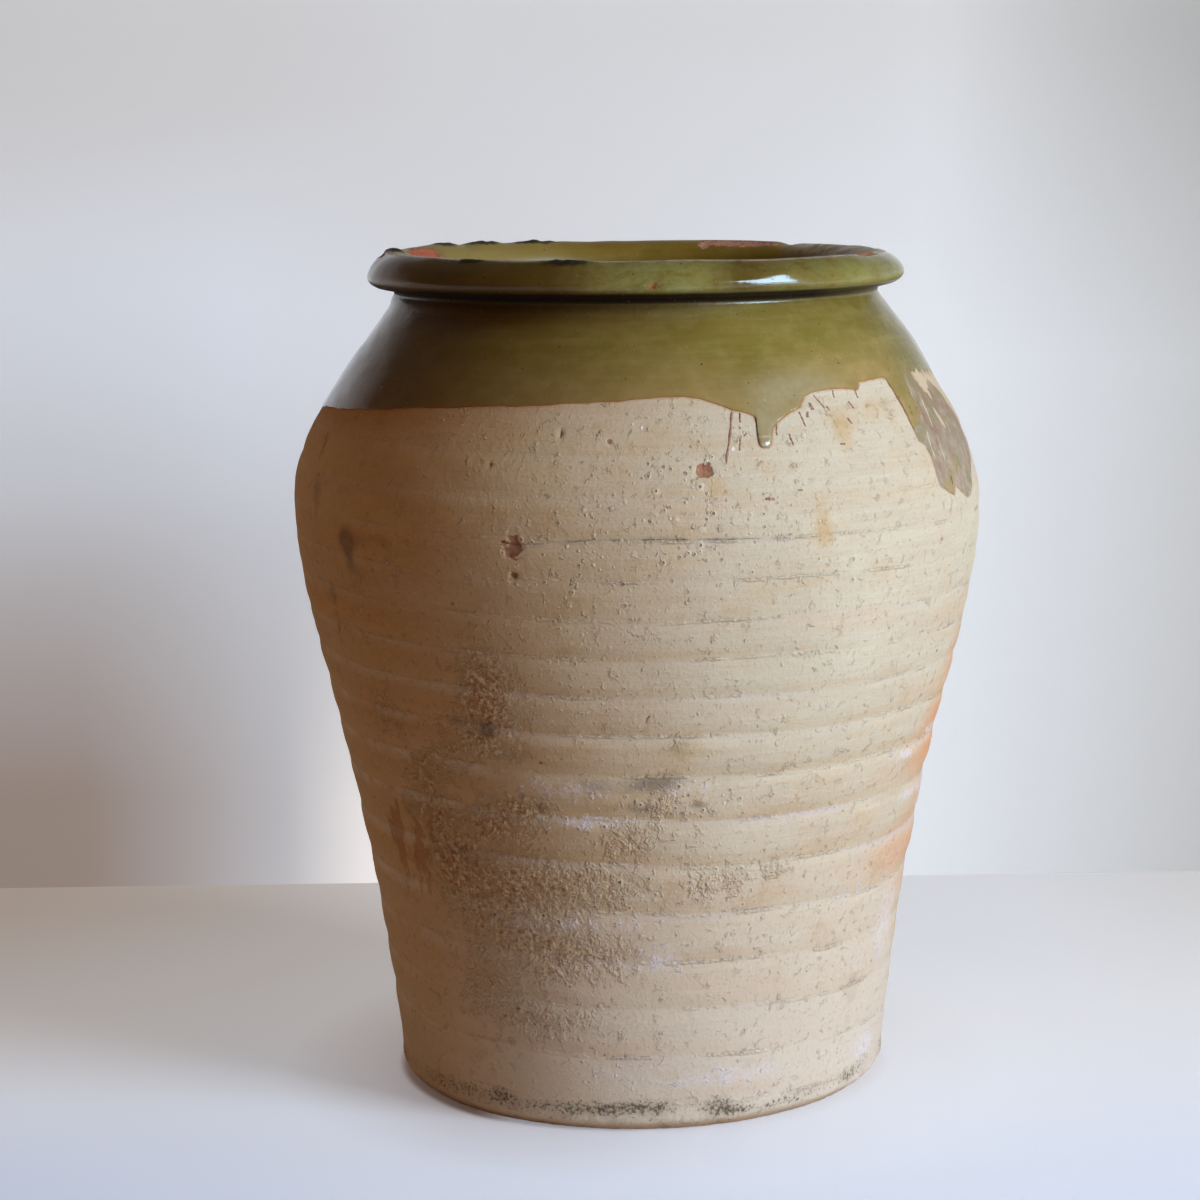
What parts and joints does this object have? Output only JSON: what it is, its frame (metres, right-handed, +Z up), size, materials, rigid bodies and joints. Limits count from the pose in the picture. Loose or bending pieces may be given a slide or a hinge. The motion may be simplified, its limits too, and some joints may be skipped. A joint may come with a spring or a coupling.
{
  "type": "confit pot",
  "caption": "Tall shouldered earthenware storage pot with a rolled rim, an olive-glazed collar ending in a drip, a bare clay body and an ochre-glazed inside.",
  "frame": {"origin": "centre of the pot's box at the flat underside, on the surface that the pot stands on", "axes": "+Z up; -Y towards the side that the picture shows; +X to the right in that view"},
  "size_m": [0.3472, 0.3472, 0.4216],
  "materials": {
    "bare_earthenware": "matt, unglazed, fired buff clay with throwing rings",
    "olive_lead_glaze": "glossy olive lead glaze",
    "ochre_lead_glaze": "glossy ochre lead glaze"
  },
  "bodies": {
    "root": {"floor_disc": "bare_earthenware", "lower_wall": "bare_earthenware", "upper_wall": "bare_earthenware", "rolled_rim": "bare_earthenware", "outer_glaze": "olive_lead_glaze", "inner_glaze": "ochre_lead_glaze"}
  },
  "joints": []
}
